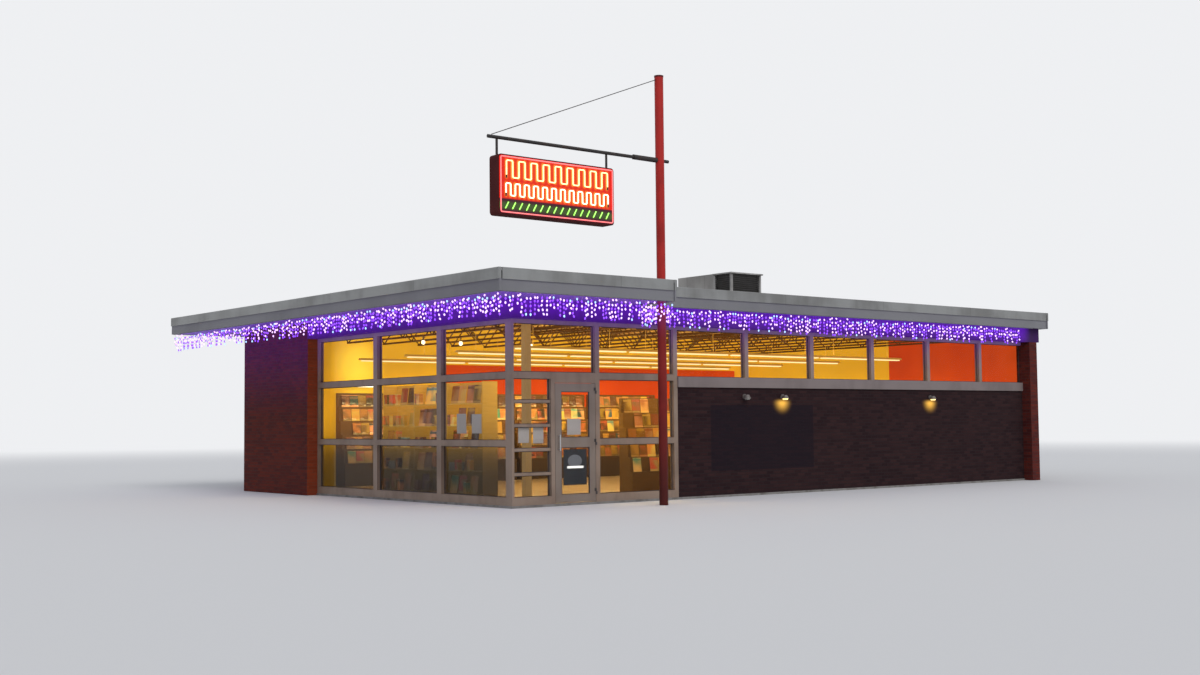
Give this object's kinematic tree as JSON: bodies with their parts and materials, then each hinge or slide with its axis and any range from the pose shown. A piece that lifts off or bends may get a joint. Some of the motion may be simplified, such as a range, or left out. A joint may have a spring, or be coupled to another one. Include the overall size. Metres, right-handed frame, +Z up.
{
  "type": "newsstand building",
  "caption": "Single-storey flat-roofed newsstand kiosk with glazed corner, brick walls, high windows, overhanging eaves, hinged glass door, rooftop unit and a pole-hung lit sign cabinet.",
  "frame": {"origin": "on the ground, below the corner where the outer faces of the side and front window frames meet", "axes": "+X along the front to the right, +Y back along the glazed side, +Z up"},
  "size_m": [16.99, 13.3653, 7.73],
  "materials": {
    "concrete": "matte",
    "red_brick": "matte",
    "brown_brick": "matte",
    "band_paint": "satin",
    "frame_paint": "satin",
    "clear_glass": "gloss",
    "door_metal": "brushed",
    "door_paint": "satin",
    "dark_metal": "satin",
    "header_paint": "matte",
    "roof_felt": "matte",
    "soffit_paint": "matte",
    "fascia_paint": "matte",
    "stop_metal": "satin",
    "joist_paint": "matte",
    "wire_sheath": "satin",
    "column_paint": "matte",
    "light_case": "satin",
    "rack_wood": "satin",
    "pole_paint": "satin",
    "black_paint": "satin",
    "sign_paint": "satin",
    "sign_panel": "satin",
    "tube_glass": "gloss",
    "lamp_metal": "satin",
    "lamp_lens": "satin",
    "unit_metal": "satin",
    "unit_cap_metal": "satin",
    "fin_metal": "satin"
  },
  "bodies": {
    "building": {"base_slab": "concrete", "left_brick_wall": "red_brick", "back_wall": "red_brick", "right_wall": "red_brick", "end_pier": "red_brick", "front_brick_wall": "brown_brick", "sill_band": "band_paint", "corner_post": "frame_paint", "side_posts": "frame_paint", "side_rails": "frame_paint", "front_posts": "frame_paint", "front_rails": "frame_paint", "side_glass": "clear_glass", "front_glass": "clear_glass", "door_frame": "frame_paint", "door_hinges": "dark_metal", "headers": "header_paint", "roof_deck": "roof_felt", "soffit": "soffit_paint", "fascia_boards": "fascia_paint", "gravel_stop": "stop_metal", "roof_joists": "joist_paint", "eave_wire": "wire_sheath", "inner_column": "column_paint", "ceiling_lights": "light_case", "side_shelves": "rack_wood", "display_racks": "rack_wood", "wall_racks": "rack_wood", "sign_pole": "pole_paint", "sign_arm": "black_paint", "sign_hangers": "black_paint", "sign_cabinet": "sign_paint", "sign_face": "sign_panel", "sign_border_tube": "tube_glass", "sign_upper_tube": "tube_glass", "sign_middle_tube": "tube_glass", "sign_strokes": "tube_glass", "wall_lamps": "lamp_metal", "lamp_lenses": "lamp_lens", "rooftop_unit": "unit_metal", "unit_frame": "unit_cap_metal", "unit_fins": "fin_metal"},
    "door": {"door_leaf": "door_paint", "door_glass": "clear_glass", "door_hinge_leaves": "dark_metal", "door_pull": "door_metal"}
  },
  "joints": [
    {"name": "door_hinge", "type": "hinge", "parent": "building", "child": "door", "pos_m": [1.871, -0.009, 1.1], "axis": [0, 0, 1], "range_deg": [0, 105]}
  ]
}
